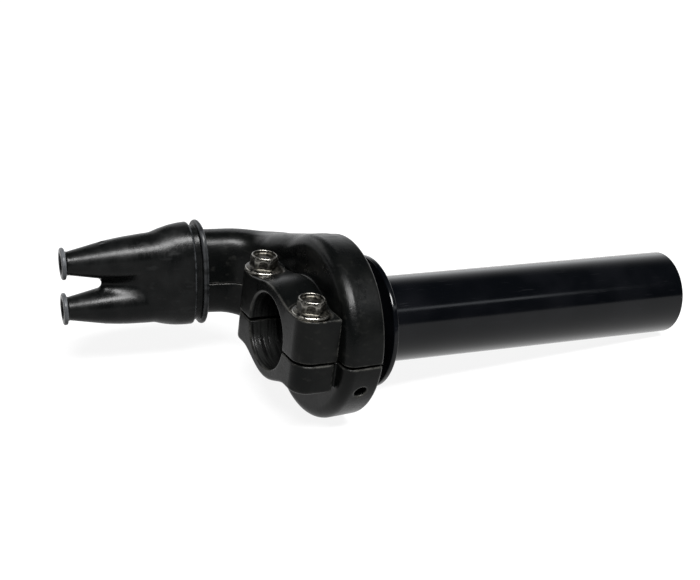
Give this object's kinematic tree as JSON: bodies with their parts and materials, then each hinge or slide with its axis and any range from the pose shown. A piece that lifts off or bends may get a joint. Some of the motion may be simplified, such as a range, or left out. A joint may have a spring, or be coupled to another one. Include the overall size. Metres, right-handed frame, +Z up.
{
  "type": "throttle grip",
  "caption": "Twist throttle for a motorcycle handlebar: split clamp housing with cable elbow and rubber boot, and a turning tube with a grip collar.",
  "frame": {"origin": "centre of the handlebar bore on the clamp's inboard face", "axes": "+X along the handlebar towards its end, +Y forward on the motorcycle towards the cable elbow, +Z up along the clamp bolts"},
  "size_m": [0.1864, 0.0829, 0.054],
  "materials": {
    "cast_housing": "satin black paint on a die casting",
    "bolt_steel": "dark zinc, worn bright on the edges",
    "bright_steel": "plain ground steel",
    "anodised_tube": "gloss black anodised",
    "drum_plastic": "moulded black acetal",
    "nylon": "natural moulded nylon",
    "seal_rubber": "matte",
    "boot_rubber": "satin moulded"
  },
  "bodies": {
    "housing": {"upper_housing": "cast_housing", "lower_housing": "cast_housing", "clamp_bolt_front": "bolt_steel", "clamp_bolt_rear": "bolt_steel", "locating_dowel_front": "bright_steel", "locating_dowel_rear": "bright_steel", "thrust_washer_inboard": "nylon", "thrust_washer_outboard": "nylon", "tube_dust_seal": "seal_rubber", "roller_pin": "bright_steel", "roller_spacer": "nylon", "roller_washer_top": "bright_steel", "roller_washer_bottom": "bright_steel", "cable_seat": "drum_plastic", "cable_boot": "boot_rubber"},
    "twist": {"throttle_tube": "anodised_tube", "cable_drum": "drum_plastic", "drum_snap_ring": "bright_steel"},
    "open_roller": {"open_cable_roller": "nylon"},
    "close_roller": {"close_cable_roller": "nylon"}
  },
  "joints": [
    {"name": "throttle_twist", "type": "hinge", "parent": "housing", "child": "twist", "pos_m": [0, 0, 0], "axis": [1, 0, 0], "range_deg": [0, 80]},
    {"name": "open_roller_spin", "type": "hinge", "parent": "housing", "child": "open_roller", "pos_m": [0.0142, 0.0407, 0.0073], "axis": [0, 0, -1], "range_deg": [0, 425]},
    {"name": "close_roller_spin", "type": "hinge", "parent": "housing", "child": "close_roller", "pos_m": [0.0142, 0.0407, -0.0073], "axis": [0, 0, 1], "range_deg": [0, 425]}
  ],
  "couplings": [
    {"joint": "open_roller_spin", "follows": "throttle_twist", "ratio": 5.2857},
    {"joint": "close_roller_spin", "follows": "throttle_twist", "ratio": 5.2857}
  ]
}
